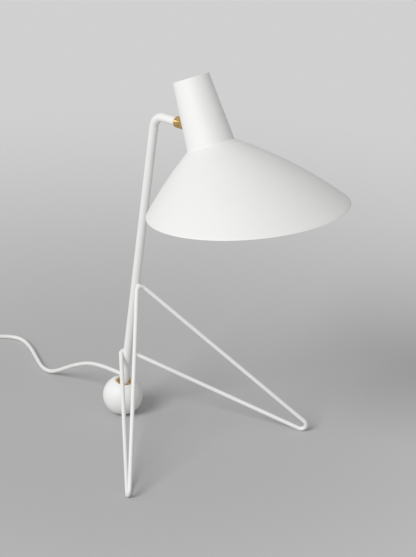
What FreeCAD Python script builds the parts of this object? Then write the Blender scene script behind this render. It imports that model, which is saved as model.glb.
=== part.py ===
import FreeCAD, Part
import math
import os
from FreeCAD import Placement, Rotation, Vector

# Reading lamp on a tripod of one weighted ball and two wire hairpin legs. The stem leans
# forward out of the ball, bends over into a short arm and carries a spun shade on a brass
# swivel. Millimetres. X points forward, Y to the left, Z up; the origin lies on the table
# under the middle of the ball.

# Ball foot
BALL_R = 25.0
PAD_R = 6.5
PAD_T = 1.0
RING_R = 9.9
RING_BORE_R = 7.2
RING_TOP = 20.5
RING_T = 3.0
RING_BEVEL = 0.7
SINK_MOUTH_R = 12.3
BALL_SCREW_R = 2.0
BALL_SCREW_L = 9.0

# Stem and arm: one bent tube
STEM_R = 5.5
STEM_WALL = 1.5
STEM_LEAN = 8.15
STEM_SUNK = 10.0
STEM_RUN = 401.0
ARM_RISE = 6.0
ARM_RUN = 41.2
BEND_R = 21.0

# Wire legs, measured on the wire's centre line
WIRE_R = 2.6
V_BEND_R = 8.0
FOOT_BEND_R = 7.2
UPPER_V_RUN = 167.5
LOWER_V_RUN = 63.0
FOOT_X = 208.1
FOOT_Y = 163.2
WELD_GAP = 0.08
WELD_R = 3.5
SETTLE_PASSES = 12

# Brass swivel
SWIVEL_R = 7.2
SWIVEL_EDGE = 0.7
SWIVEL_GAP = 0.3
BASE_LENGTH = 12.3
HEAD_LENGTH = 10.5
TONGUE_GAP = 0.15
COLLAR_START = 7.7
POCKET_R = 4.4
POCKET_DEPTH = 2.6
LEAD_WAY_R = 1.8
SPIGOT_R = 3.6
SPIGOT_SUNK = 14.0
SPIGOT_OUT = 4.0
GROOVE_R = 3.0
GROOVE_AT = 10.4
GROOVE_W = 2.7
GRUB_R = 1.2
PIVOT_R = 1.75
PIVOT_HEAD_R = 3.2
PIVOT_HEAD_T = 1.5
PIVOT_SEAT = 5.0
WASHER_T = 0.35
STUB_R = 3.95
STUB_OUT = 9.2

# Shade: neck cone and flared skirt about one axis, cut off by a sloping plane
SHADE_LEAN = 27.2
NECK_TOP_R = 22.5
NECK_FOOT_R = 29.2
NECK_L = 83.6
NECK_EDGE = 0.8
CREASE_R = 3.5
SHEET = 1.2
SKIRT_START = 55.0
SKIRT_CURVE_R = 510.0
SKIRT_ARC = 190.0
CUT_DROP = 75.1
CUT_SLOPE = 17.74
STUB_BELOW_TOP = 51.5
VENT_COUNT = 8
VENT_R = 1.6
VENT_CIRCLE_R = 14.0

# Fixing of the shade and of the lamp holder
SADDLE_T = 1.2
SADDLE_R = 6.8
INNER_SADDLE_T = 1.4
NUT_FLATS = 13.0
NUT_T = 3.5
BRACKET_T = 1.2
BRACKET_W = 16.0
BRACKET_BEND = 2.0
BRACKET_FOOT = 8.2
PLATE_UNDER = 62.0
PLATE_REACH = 8.5
NIPPLE_R = 5.0
NIPPLE_BORE_R = 3.4
NIPPLE_L = 14.0
HOLDER_NUT_FLATS = 14.0
HOLDER_NUT_T = 3.0

# Lamp holder and bulb, heights along the shade's axis above the crease
HOLDER_R = 13.4
HOLDER_WALL = 1.8
HOLDER_SHOULDER_R = 10.2
HOLDER_SPLIT = 44.0
HOLDER_MOUTH = 15.5
THREAD_R = 7.8
THREAD_WALL = 0.6
BULB_TIP = 38.0
BULB_CAP_R = 7.0
BULB_CAP_L = 19.0
BULB_CONTACT_R = 2.6
BULB_R = 22.5
BULB_CENTRE = -17.0
BULB_THROAT_R = 11.0
BULB_SIDE_DROP = 0.3
GLASS_T = 0.8

# Leads and cord
CORD_R = 2.6
STEM_LEAD_R = 2.0
SHADE_LEAD_R = 1.1
CORD_EXIT_RUN = 28.5
GROMMET_R = 3.3
GROMMET_FLANGE_R = 3.9
GROMMET_PROUD = 1.1
BEND_SHARE = 0.45

# Where the cord goes on beyond the lamp: a spot on the table, the way towards it, and the
# coil, the switch and the plug set out from that spot
FAR_SPOT = Vector(-269.6, 14.1, 0)
FAR_WAY = Vector(-0.6535, -0.7567, 0)
FAR_SIDE = Vector(0.7567, -0.6535, 0)
SWITCH_L = 56.0
SWITCH_W = 22.0
SWITCH_H = 15.0
SWITCH_SPLIT = 7.5
SWITCH_CORNER = 7.0
SWITCH_WALL = 1.6
SWITCH_HOLLOW_L = 34.0
SWITCH_SCREW_R = 1.2
SWITCH_SCREW_HEAD_R = 2.55
SWITCH_ASIDE = 42.2
SWITCH_ALONG = 106.0
ROCKER_L = 24.0
ROCKER_W = 9.6
ROCKER_TILT = 8.0
ROCKER_AXIS = 11.5
ROCKER_EDGE = 1.2
ROCKER_KEEL = 2.4
ROCKER_KEEL_L = 8.0
ROCKER_PIN_R = 1.2
ROCKER_GAP = 0.35
ROCKER_WINDOW_L = 26.4
TERMINAL_L = 7.0
TERMINAL_W = 4.0
TERMINAL_H = 4.4
TERMINAL_BORE_R = 0.9
TERMINAL_OUT = 10.0
SLOT_W = 0.7
RELIEF_L = 20.0
RELIEF_R = 4.4
RELIEF_END_R = 3.3
RELIEF_CORE_R = 3.0
RELIEF_GROOVES = 5
RELIEF_GROOVE_W = 1.3
COIL_ASIDE = 96.0
COIL_ALONG = 148.0
COIL_R = 41.5
COIL_EYE_R = 20.5
COIL_H = 10.6
COIL_TURN_R = 38.6
PLUG_ASIDE = 134.4
PLUG_ALONG = 70.0
PLUG_W = 35.3
PLUG_H = 13.7
PLUG_L = 36.0
PLUG_SHOULDER_AT = 24.5
PLUG_WAIST_W = 19.5
PLUG_WAIST_H = 12.3
PLUG_WAIST_AT = 12.6
PLUG_TAIL_W = 15.0
PLUG_TAIL_H = 11.0
PLUG_EDGE = 1.0
PIN_R = 2.0
PIN_L = 19.0
PIN_PITCH = 18.6

FIT = 0.05
CLEAR = 0.3
BIG = 400.0
ORIGIN = Vector(0, 0, 0)
X = Vector(1, 0, 0)
Y = Vector(0, 1, 0)
Z = Vector(0, 0, 1)

lean = math.radians(STEM_LEAN)
STEM_UP = Vector(math.sin(lean), 0, math.cos(lean))
STEM_FRONT = Vector(math.cos(lean), 0, -math.sin(lean))
BALL_CENTRE = Vector(0, 0, BALL_R)
ARM_CORNER = BALL_CENTRE + STEM_UP * STEM_RUN
rise = math.radians(ARM_RISE)
ARM_WAY = Vector(math.cos(rise), 0, math.sin(rise))
ARM_END = ARM_CORNER + ARM_WAY * ARM_RUN
PIVOT = ARM_END + ARM_WAY * (SWIVEL_GAP + BASE_LENGTH)

# The neck's slope, and the place on its back where the swivel's stub goes through, in the
# shade's own frame: origin in the middle of the crease, Z up the shade's axis
NECK_SLOPE = math.degrees(math.atan((NECK_FOOT_R - NECK_TOP_R) / NECK_L))
slope = math.radians(NECK_SLOPE)
INWARD = Vector(math.cos(slope), 0, -math.sin(slope))
UP_NECK = Vector(math.sin(slope), 0, math.cos(slope))
STUB_SPOT = Vector(-NECK_TOP_R - STUB_BELOW_TOP * math.tan(slope), 0, NECK_L - STUB_BELOW_TOP)
PIVOT_IN_SHADE = STUB_SPOT - INWARD * (HEAD_LENGTH + SADDLE_T)

SHADE_TURN = Rotation(Y, -SHADE_LEAN)
SHADE_PLACE = Placement(PIVOT - SHADE_TURN.multVec(PIVOT_IN_SHADE), SHADE_TURN)
ARM_PLACE = Placement(PIVOT, Rotation(Y, -ARM_RISE))
HEAD_PLACE = Placement(PIVOT, Rotation(Y, NECK_SLOPE - SHADE_LEAN))


def save(node, shape):
    """Writes one piece as its own file."""
    shape.exportStep("parts/" + node + ".step")


def placed(shape, placement):
    """A copy of a shape moved out of the frame it was drawn in."""
    copy = shape.copy()
    copy.Placement = placement.multiply(copy.Placement)
    return copy


def cylinder(radius, start, end):
    """A round bar from one point to another."""
    along = end - start
    return Part.makeCylinder(radius, along.Length, start, along)


def collar(radius, bore, start, end):
    """A round bar with a hole along it."""
    along = end - start
    return cylinder(radius, start, end).cut(cylinder(bore, start - along, end + along))


def revolved(points):
    """A solid turned about Z from the corners of half its section."""
    outline = Part.makePolygon(points + [points[0]])
    return Part.Face(outline).revolve(ORIGIN, Z, 360)


def corner_arc(before, corner, after, radius):
    """Centre, first point, middle and last point of the arc that rounds a corner."""
    back = Vector(before - corner).normalize()
    ahead = Vector(after - corner).normalize()
    half = back.getAngle(ahead) / 2
    inward = (back + ahead).normalize()
    centre = corner + inward * (radius / math.sin(half))
    reach = radius / math.tan(half)
    return centre, corner + back * reach, centre - inward * radius, corner + ahead * reach


def line(start, end):
    return Part.LineSegment(start, end).toShape()


def arc(start, middle, end):
    return Part.Arc(start, middle, end).toShape()


def rounded_route(points, radius_of):
    """Straight runs through the points, joined by tangent arcs."""
    edges = []
    last = points[0]
    for before, corner, after in zip(points, points[1:], points[2:]):
        radius = radius_of(before, corner, after)
        centre, start, middle, end = corner_arc(before, corner, after, radius)
        edges.append(line(last, start))
        edges.append(arc(start, middle, end))
        last = end
    edges.append(line(last, points[-1]))
    return edges


def swept(edges, radius):
    """A round section carried along joined edges."""
    first = edges[0]
    start = first.valueAt(first.FirstParameter)
    ring = Part.Wire(Part.makeCircle(radius, start, first.tangentAt(first.FirstParameter)))
    return Part.Wire(edges).makePipeShell([ring], True, False)


def largest_bend(before, corner, after):
    """The radius of a limp lead's bend, as large as its two runs allow."""
    back = before - corner
    ahead = after - corner
    turn = math.pi - back.getAngle(ahead)
    return BEND_SHARE * min(back.Length, ahead.Length) / math.tan(turn / 2)


def lead(name, points, radius):
    """A cord's tube, with its tightest bend and its volume compared with its length."""
    radii = [largest_bend(*three) for three in zip(points, points[1:], points[2:])]
    edges = rounded_route(points, largest_bend)
    length = sum(edge.Length for edge in edges)
    tube = swept(edges, radius)
    share = tube.Volume / (math.pi * radius ** 2 * length)
    print(name, "length %.1f tightest bend %.1f volume share %.4f" % (length, min(radii), share))
    print("   radii", " ".join("%.0f" % value for value in radii))
    return tube


def hexagon(flats, start, height):
    """A hexagon bar standing on a point, its axis along Z."""
    across = flats / math.cos(math.pi / 6) / 2
    corners = [Vector(across * math.cos(k * math.pi / 3), across * math.sin(k * math.pi / 3), 0)
               for k in range(6)]
    bar = Part.Face(Part.makePolygon(corners + [corners[0]])).extrude(Z * height)
    bar.translate(start)
    return bar


def nut(flats, start, height, bore):
    return hexagon(flats, start, height).cut(cylinder(bore, start - Z, start + Z * (height + 1)))


# ---- ball foot -----------------------------------------------------------------------

def on_stem(run, forward=0.0):
    """A point at a distance along the stem from the ball's centre."""
    return BALL_CENTRE + STEM_UP * run + STEM_FRONT * forward


def foot_ball():
    ball = Part.makeSphere(BALL_R, BALL_CENTRE)
    ball = ball.cut(Part.makeBox(BIG, BIG, BIG, Vector(-BIG / 2, -BIG / 2, PAD_T - BIG)))
    ball = ball.cut(cylinder(STEM_R + FIT, on_stem(-STEM_SUNK - FIT), on_stem(BALL_R)))
    ball = ball.cut(cylinder(RING_R + FIT, on_stem(RING_TOP - RING_T), on_stem(BALL_R)))
    mouth_run = math.sqrt(BALL_R ** 2 - SINK_MOUTH_R ** 2)
    flare = (SINK_MOUTH_R - RING_R) / (mouth_run - RING_TOP)
    rise_above = BALL_R - RING_TOP
    sink = Part.makeCone(RING_R + FIT, RING_R + flare * rise_above, rise_above,
                         on_stem(RING_TOP), STEM_UP)
    ball = ball.cut(sink)
    return ball.cut(cylinder(BALL_SCREW_R + FIT, BALL_CENTRE - X * BALL_R, BALL_CENTRE))


def foot_pad():
    return cylinder(PAD_R, ORIGIN, Z * PAD_T)


def ball_ring():
    ring = collar(RING_R, RING_BORE_R, on_stem(RING_TOP - RING_T), on_stem(RING_TOP))
    bevel = Part.makeCone(RING_BORE_R, RING_BORE_R + RING_BEVEL, RING_BEVEL,
                          on_stem(RING_TOP - RING_BEVEL), STEM_UP)
    return ring.cut(bevel)


def ball_grub_screw():
    tip = BALL_CENTRE - X * (STEM_R / math.cos(lean) + BALL_SCREW_R * math.tan(lean) + FIT)
    screw = cylinder(BALL_SCREW_R, tip - X * BALL_SCREW_L, tip)
    socket = hexagon(BALL_SCREW_R, ORIGIN, BALL_SCREW_R)
    socket = placed(socket, Placement(tip - X * BALL_SCREW_L, Rotation(Y, 90)))
    return screw.cut(socket)


# ---- stem and arm --------------------------------------------------------------------

def stem_route(start_run, end):
    return rounded_route([on_stem(start_run), ARM_CORNER, end], lambda *three: BEND_R)


def cord_exit():
    """Middle of the hole at the back of the stem."""
    return on_stem(CORD_EXIT_RUN)


def stem_tube():
    outer = swept(stem_route(-STEM_SUNK, ARM_END), STEM_R)
    inner = swept(stem_route(-STEM_SUNK - FIT, ARM_END + ARM_WAY * FIT), STEM_R - STEM_WALL)
    hole = cylinder(GROMMET_R + FIT, cord_exit() - X * BALL_R, cord_exit())
    return outer.cut(inner).cut(hole)


def cord_grommet():
    """Sleeve through the wall with a flange that fits round the tube."""
    back = cord_exit() - X * (STEM_R / math.cos(lean))
    sleeve = cylinder(GROMMET_R, back, back + X * STEM_WALL)
    flange = cylinder(GROMMET_FLANGE_R, back - X * GROMMET_PROUD, back + X * STEM_WALL)
    tube = cylinder(STEM_R, on_stem(0), on_stem(2 * CORD_EXIT_RUN))
    grommet = flange.cut(tube).fuse(sleeve).removeSplitter()
    return grommet.cut(cylinder(CORD_R + FIT, back - X * BALL_R, back + X * BALL_R))


def stem_lead():
    start_run = CORD_EXIT_RUN + GROMMET_FLANGE_R + GROMMET_R
    end = ARM_END - ARM_WAY * (SPIGOT_SUNK + CLEAR)
    return swept(stem_route(start_run, end), STEM_LEAD_R)


# ---- wire legs -----------------------------------------------------------------------

def forward_of_stem(point):
    return (point - BALL_CENTRE).dot(STEM_FRONT)


def mirrored(point):
    return Vector(point.x, -point.y, point.z)


def lowest_of_bend(upper, foot, lower):
    """Height of the lowest point of the foot's bend, on the wire's centre line."""
    centre = corner_arc(upper, foot, lower, FOOT_BEND_R)[0]
    flat = (upper - foot).cross(lower - foot).normalize()
    return centre.z - FOOT_BEND_R * math.sqrt(1 - flat.z ** 2)


def settled_corners():
    """The legs' three corners, moved until both Vs seat on the stem and the feet on the table."""
    touch = STEM_R + WIRE_R + WELD_GAP
    upper = on_stem(UPPER_V_RUN)
    lower = on_stem(LOWER_V_RUN)
    foot = Vector(FOOT_X, FOOT_Y, 0)
    for settle in range(SETTLE_PASSES):
        other = mirrored(foot)
        upper_apex = corner_arc(other, upper, foot, V_BEND_R)[2]
        upper = upper + STEM_FRONT * (touch - forward_of_stem(upper_apex))
        lower_apex = corner_arc(other, lower, foot, V_BEND_R)[2]
        lower = lower - STEM_FRONT * (touch + forward_of_stem(lower_apex))
        foot = foot + Z * (WIRE_R - lowest_of_bend(upper, foot, lower))
    return upper, lower, foot


def half_bend(centre, start, end):
    """An arc about a centre from one point to another."""
    radius = (start - centre).Length
    middle = centre + ((start - centre) + (end - centre)).normalize() * radius
    return arc(start, middle, end)


def leg():
    """The left hairpin, from the middle plane down to its foot and back to the middle plane."""
    upper, lower, foot = settled_corners()
    other = mirrored(foot)
    top_centre, other_top, top_apex, top_end = corner_arc(other, upper, foot, V_BEND_R)
    foot_bend = corner_arc(upper, foot, lower, FOOT_BEND_R)[1:]
    low_centre, low_start, low_apex, other_low = corner_arc(foot, lower, other, V_BEND_R)
    edges = [half_bend(top_centre, top_apex, top_end), line(top_end, foot_bend[0])]
    edges += [arc(*foot_bend), line(foot_bend[2], low_start)]
    edges.append(half_bend(low_centre, low_start, low_apex))
    return swept(edges, WIRE_R)


def weld_beads(left, right):
    """Beads between the wire and the stem, in front at the upper V and behind at the lower."""
    upper, lower, foot = settled_corners()
    other = mirrored(foot)
    stem = cylinder(STEM_R, on_stem(0), on_stem(STEM_RUN / 2))
    beads = []
    for corner, side in ((upper, 1), (lower, -1)):
        apex = corner_arc(other, corner, foot, V_BEND_R)[2]
        seat = apex - STEM_FRONT * side * WIRE_R
        bead = Part.makeSphere(WELD_R, seat)
        bead = bead.cut(stem).cut(left).cut(right)
        beads.append(max(bead.Solids, key=lambda solid: solid.Volume))
    return Part.makeCompound(beads)


# ---- swivel, drawn with the pivot at the origin ----------------------------------------

def tongue():
    """Half of a round bar, rounded about the cross screw, with its pocket for the lead."""
    bar = cylinder(SWIVEL_R, -X * COLLAR_START, X * SWIVEL_R)
    nose = cylinder(SWIVEL_R, -Y * SWIVEL_R, Y * SWIVEL_R)
    block = Part.makeBox(COLLAR_START, 2 * SWIVEL_R, 2 * SWIVEL_R,
                         Vector(-COLLAR_START, -SWIVEL_R, -SWIVEL_R))
    half = Part.makeBox(BIG, BIG, BIG, Vector(-BIG / 2, -BIG - TONGUE_GAP, -BIG / 2))
    piece = bar.common(nose.fuse(block)).common(half)
    piece = piece.cut(cylinder(POCKET_R, ORIGIN, -Y * (TONGUE_GAP + POCKET_DEPTH)))
    return piece.cut(cylinder(LEAD_WAY_R, -X * BIG, ORIGIN))


def rounded_end(shape, x_end):
    """Rounds the outer edge of a bar's end face."""
    rim = [edge for edge in shape.Edges
           if abs(edge.BoundBox.XMin - x_end) < FIT and abs(edge.BoundBox.XMax - x_end) < FIT
           and edge.Length > math.pi * SWIVEL_R]
    return shape.makeFillet(SWIVEL_EDGE, rim)


def swivel_base():
    bar = rounded_end(cylinder(SWIVEL_R, -X * BASE_LENGTH, -X * COLLAR_START), -BASE_LENGTH)
    base = bar.fuse(tongue()).removeSplitter()
    base = base.cut(cylinder(SPIGOT_R + FIT, -X * BIG, -X * (BASE_LENGTH - SPIGOT_OUT - CLEAR)))
    base = base.cut(cylinder(LEAD_WAY_R, -X * BASE_LENGTH, -X * POCKET_R))
    base = base.cut(cylinder(PIVOT_R + FIT, -Y * SWIVEL_R, ORIGIN))
    base = base.cut(cylinder(PIVOT_HEAD_R + CLEAR, -Y * SWIVEL_R, -Y * PIVOT_SEAT))
    grub = -X * GROOVE_AT
    return base.cut(cylinder(GRUB_R + FIT, grub, grub - Z * SWIVEL_R))


def swivel_head():
    """The shade's half: the tongue on the far side, the collar, and the hollow stub."""
    half = tongue().mirror(ORIGIN, X).mirror(ORIGIN, Y)
    bar = rounded_end(cylinder(SWIVEL_R, X * COLLAR_START, X * HEAD_LENGTH), HEAD_LENGTH)
    stub = cylinder(STUB_R, X * COLLAR_START, X * (HEAD_LENGTH + STUB_OUT))
    head = half.fuse(bar).fuse(stub).removeSplitter()
    head = head.cut(cylinder(LEAD_WAY_R, X * POCKET_R, X * BIG))
    return head.cut(cylinder(PIVOT_R + FIT / 2, ORIGIN, Y * SWIVEL_R))


def arm_spigot():
    end = -X * (BASE_LENGTH + SWIVEL_GAP)
    plug = cylinder(STEM_R - STEM_WALL, end - X * SPIGOT_SUNK, end)
    nose = cylinder(SPIGOT_R, end, -X * (BASE_LENGTH - SPIGOT_OUT))
    groove = collar(SPIGOT_R + FIT, GROOVE_R, -X * (GROOVE_AT + GROOVE_W / 2),
                    -X * (GROOVE_AT - GROOVE_W / 2))
    spigot = plug.fuse(nose).removeSplitter().cut(groove)
    return spigot.cut(cylinder(STEM_LEAD_R, end - X * BIG, ORIGIN))


def swivel_grub_screw():
    grub = -X * GROOVE_AT
    return cylinder(GRUB_R, grub - Z * (GROOVE_R + FIT), grub - Z * (SWIVEL_R - SWIVEL_EDGE))


def swivel_screw():
    under = -Y * (PIVOT_SEAT + FIT + WASHER_T)
    head = cylinder(PIVOT_HEAD_R, under - Y * PIVOT_HEAD_T, under)
    shank = cylinder(PIVOT_R, under, Y * (SWIVEL_R - SWIVEL_EDGE))
    slot = Part.makeBox(2 * PIVOT_HEAD_R, PIVOT_HEAD_T / 2, SLOT_W,
                        Vector(-PIVOT_HEAD_R, under.y - PIVOT_HEAD_T, -SLOT_W / 2))
    return head.fuse(shank).removeSplitter().cut(slot)


def swivel_washer():
    seat = -Y * (PIVOT_SEAT + FIT)
    return collar(PIVOT_HEAD_R, PIVOT_R + FIT, seat - Y * WASHER_T, seat)


# ---- shade, drawn about its own axis ---------------------------------------------------

def skirt_centre():
    """Centre of the arc that the skirt's outline follows."""
    start = math.radians(SKIRT_START)
    return Vector(NECK_FOOT_R - SKIRT_CURVE_R * math.cos(start), 0,
                  -SKIRT_CURVE_R * math.sin(start))


def crease_bend(radius):
    """The bend from the neck into the skirt: first, middle and last point at its radius."""
    off_neck = Vector(math.cos(slope), 0, math.sin(slope))
    up_neck = Vector(-math.sin(slope), 0, math.cos(slope))
    foot = Vector(NECK_FOOT_R, 0, 0) + off_neck * CREASE_R - skirt_centre()
    along = foot.dot(up_neck)
    climb = math.sqrt(along ** 2 - foot.dot(foot) + (SKIRT_CURVE_R + CREASE_R) ** 2) - along
    centre = skirt_centre() + foot + up_neck * climb
    to_skirt = (skirt_centre() - centre).normalize()
    between = (to_skirt - off_neck).normalize()
    return [centre + way * radius for way in (off_neck * -1, between, to_skirt)]


def skirt_arc(radius, start):
    """The skirt's outline from a point outwards: first, middle and last point."""
    centre = skirt_centre()
    first_angle = math.atan2(start.z - centre.z, start.x - centre.x)
    last_angle = math.radians(SKIRT_START) - SKIRT_ARC / SKIRT_CURVE_R
    angles = (first_angle, (first_angle + last_angle) / 2, last_angle)
    return [centre + Vector(math.cos(angle), 0, math.sin(angle)) * radius for angle in angles]


def shade_sheet():
    """The whole spun sheet, before the neck and the skirt are parted."""
    crease = crease_bend(CREASE_R)
    inner_crease = crease_bend(CREASE_R + SHEET)
    outer = skirt_arc(SKIRT_CURVE_R, crease[2])
    inner = skirt_arc(SKIRT_CURVE_R - SHEET, inner_crease[2])
    top = Vector(0, 0, NECK_L)
    rim = Vector(NECK_TOP_R, 0, NECK_L)
    under = Vector(0, 0, NECK_L - SHEET)
    inner_rim = Vector(NECK_TOP_R - SHEET / math.cos(slope) + SHEET * math.tan(slope), 0, under.z)
    edge = corner_arc(top, rim, crease[0], NECK_EDGE)[1:]
    edges = [line(top, edge[0]), arc(*edge), line(edge[2], crease[0]), arc(*crease), arc(*outer)]
    edges += [line(outer[2], inner[2]), arc(*inner[::-1]), arc(*inner_crease[::-1])]
    edges += [line(inner_crease[0], inner_rim), line(inner_rim, under), line(under, top)]
    return Part.Face(Part.Wire(edges)).revolve(ORIGIN, Z, 360)


def shade_neck(sheet):
    below = Part.makeBox(BIG, BIG, BIG, Vector(-BIG / 2, -BIG / 2, -BIG))
    neck = sheet.cut(below)
    spot = STUB_SPOT
    neck = neck.cut(cylinder(STUB_R + 2 * FIT, spot - INWARD * SADDLE_R, spot + INWARD * SADDLE_R))
    for vent in range(VENT_COUNT):
        angle = 2 * math.pi * vent / VENT_COUNT
        foot = Vector(VENT_CIRCLE_R * math.cos(angle), VENT_CIRCLE_R * math.sin(angle), NECK_L)
        neck = neck.cut(cylinder(VENT_R, foot - Z * 2 * SHEET, foot + Z))
    return neck


def shade_skirt(sheet):
    above = Part.makeBox(BIG, BIG, BIG, Vector(-BIG / 2, -BIG / 2, 0))
    under = Part.makeBox(2 * BIG, 2 * BIG, BIG, Vector(-BIG, -BIG, -BIG))
    under = placed(under, Placement(Z * -CUT_DROP, Rotation(Y, CUT_SLOPE)))
    return sheet.cut(above).cut(under)


def neck_body(inset):
    """The neck's cone as a solid, as large as its outer face or shrunk by the sheet."""
    top_r = NECK_TOP_R - inset / math.cos(slope)
    foot_r = NECK_FOOT_R - inset / math.cos(slope)
    return Part.makeCone(foot_r, top_r, NECK_L)


def through_neck(radius, start, end):
    """A bar on the stub's axis, measured inwards from the neck's outer face."""
    return cylinder(radius, STUB_SPOT + INWARD * start, STUB_SPOT + INWARD * end)


def neck_saddle():
    washer = through_neck(SADDLE_R, -SADDLE_T, SADDLE_T)
    return washer.cut(neck_body(0)).cut(through_neck(STUB_R + FIT, -BIG, BIG))


def inner_saddle():
    washer = through_neck(SADDLE_R, 0, SHEET + INNER_SADDLE_T)
    return washer.common(neck_body(SHEET)).cut(through_neck(STUB_R + FIT, -BIG, BIG))


def neck_nut():
    start = STUB_SPOT + INWARD * (SHEET + INNER_SADDLE_T + BRACKET_T)
    return placed(nut(NUT_FLATS, ORIGIN, NUT_T, STUB_R + FIT / 2), Placement(start, Rotation(Z, INWARD)))


def holder_bracket():
    """Bent strip: a leg clamped under the nut and a plate across the neck's axis."""
    wall_side = SHEET + INNER_SADDLE_T
    foot = STUB_SPOT - UP_NECK * BRACKET_FOOT
    outer_foot = foot + INWARD * wall_side
    inner_foot = foot + INWARD * (wall_side + BRACKET_T)
    plate_top = PLATE_UNDER + BRACKET_T
    outer_bend = outer_foot + UP_NECK * ((plate_top - outer_foot.z) / UP_NECK.z)
    inner_bend = inner_foot + UP_NECK * ((PLATE_UNDER - inner_foot.z) / UP_NECK.z)
    tip = Vector(PLATE_REACH, 0, plate_top)
    under_tip = Vector(PLATE_REACH, 0, PLATE_UNDER)
    outer = corner_arc(outer_foot, outer_bend, tip, BRACKET_BEND)
    inner = corner_arc(under_tip, inner_bend, inner_foot, BRACKET_BEND - BRACKET_T)
    edges = [line(outer_foot, outer[1]), arc(*outer[1:]), line(outer[3], tip), line(tip, under_tip)]
    edges += [line(under_tip, inner[1]), arc(*inner[1:]), line(inner[3], inner_foot)]
    edges.append(line(inner_foot, outer_foot))
    strip = Part.Face(Part.Wire(edges)).extrude(Y * BRACKET_W)
    strip.translate(-Y * BRACKET_W / 2)
    strip = strip.cut(through_neck(STUB_R + FIT, 0, NUT_FLATS))
    return strip.cut(cylinder(NIPPLE_R + FIT, Z * HOLDER_SPLIT, Z * NECK_L))


def holder_nipple():
    bottom = PLATE_UNDER - NIPPLE_L / 2
    return collar(NIPPLE_R, NIPPLE_BORE_R, Z * bottom, Z * (bottom + NIPPLE_L))


def holder_nut():
    return nut(HOLDER_NUT_FLATS, Z * (PLATE_UNDER + BRACKET_T), HOLDER_NUT_T, NIPPLE_R + FIT / 2)


def holder_cap():
    """Upper half of the lamp holder: a cup with a sloping shoulder."""
    shoulder = PLATE_UNDER - (HOLDER_R - HOLDER_SHOULDER_R)
    inside = HOLDER_R - HOLDER_WALL
    inner_top = PLATE_UNDER - HOLDER_WALL
    points = [Vector(NIPPLE_R + FIT, 0, PLATE_UNDER), Vector(HOLDER_SHOULDER_R, 0, PLATE_UNDER)]
    points += [Vector(HOLDER_R, 0, shoulder), Vector(HOLDER_R, 0, HOLDER_SPLIT)]
    points += [Vector(inside, 0, HOLDER_SPLIT), Vector(inside, 0, shoulder - HOLDER_WALL)]
    points += [Vector(HOLDER_SHOULDER_R - HOLDER_WALL, 0, inner_top)]
    points += [Vector(NIPPLE_R + FIT, 0, inner_top)]
    return revolved(points)


def holder_body():
    """Lower half: a barrel that takes the thread, closed above by the contact's floor."""
    floor = BULB_TIP + 2 * CLEAR + THREAD_WALL
    bore = THREAD_R + FIT
    points = [Vector(0, 0, HOLDER_SPLIT), Vector(HOLDER_R, 0, HOLDER_SPLIT)]
    points += [Vector(HOLDER_R, 0, HOLDER_MOUTH), Vector(bore, 0, HOLDER_MOUTH)]
    points += [Vector(bore, 0, floor), Vector(0, 0, floor)]
    return revolved(points)


def holder_thread():
    bottom = HOLDER_MOUTH + HOLDER_WALL
    return collar(THREAD_R, THREAD_R - THREAD_WALL, Z * bottom, Z * (BULB_TIP - HOLDER_WALL))


def holder_contact():
    """Sprung disc on the floor of the holder."""
    return cylinder(THREAD_R / 2, Z * (BULB_TIP + CLEAR), Z * (BULB_TIP + CLEAR + THREAD_WALL))


def bulb_cap():
    top = BULB_TIP - HOLDER_WALL
    neck_r = THREAD_R / 2
    points = [Vector(0, 0, BULB_TIP - BULB_CAP_L), Vector(BULB_CAP_R, 0, BULB_TIP - BULB_CAP_L)]
    points += [Vector(BULB_CAP_R, 0, top - HOLDER_WALL), Vector(neck_r, 0, top), Vector(0, 0, top)]
    return revolved(points)


def bulb_contact():
    top = BULB_TIP - HOLDER_WALL
    return Part.makeCone(THREAD_R / 2 - CLEAR, BULB_CONTACT_R, HOLDER_WALL, Z * top)


def bulb_outline(inset):
    """Half outline of the bulb's glass, from its neck down to the foot of its ball."""
    neck_r = BULB_CAP_R - CLEAR - inset
    radius = BULB_R - inset
    throat_r = BULB_THROAT_R + inset
    centre = Z * BULB_CENTRE
    throat_x = neck_r + throat_r
    rise_to_throat = math.sqrt((radius + throat_r) ** 2 - throat_x ** 2)
    throat = Vector(throat_x, 0, BULB_CENTRE + rise_to_throat)
    towards_ball = (centre - throat).normalize()
    bisector = (towards_ball - X).normalize()
    neck = Vector(neck_r, 0, BULB_TIP - BULB_CAP_L)
    throat_top = Vector(neck_r, 0, throat.z)
    join = throat + towards_ball * throat_r
    side = centre + (X - Z * BULB_SIDE_DROP).normalize() * radius
    bottom = centre - Z * radius
    edges = [line(neck, throat_top), arc(throat_top, throat + bisector * throat_r, join)]
    return edges + [arc(join, side, bottom)], neck, bottom


def bulb_glass():
    outer, neck, bottom = bulb_outline(0)
    inner, inner_neck, inner_bottom = bulb_outline(GLASS_T)
    edges = outer + [line(bottom, inner_bottom)] + inner + [line(inner_neck, neck)]
    return Part.Face(Part.Wire(Part.sortEdges(edges)[0])).revolve(ORIGIN, Z, 360)


def shade_lead():
    """Twin lead from the stub up beside the holder and over into its nipple."""
    start = STUB_SPOT + INWARD * (STUB_OUT - SADDLE_T + FIT)
    nipple_top = PLATE_UNDER + NIPPLE_L / 2
    aside = BRACKET_W / 2 + 3 * SHADE_LEAD_R
    points = [start, start + Vector(3.2, 2.4, 1.6), Vector(start.x + 2.6, 7.4, start.z + 9)]
    points += [Vector(-15.0, aside, start.z + 19), Vector(-14.2, aside - 0.6, start.z + 29)]
    points += [Vector(-9.0, 7.4, nipple_top + 1.6), Vector(-1.6, 1.6, nipple_top + 1.8)]
    points.append(Vector(0.8, 0, nipple_top - 5))
    return lead("shade_lead", points, SHADE_LEAD_R)


# ---- cord ------------------------------------------------------------------------------

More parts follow.
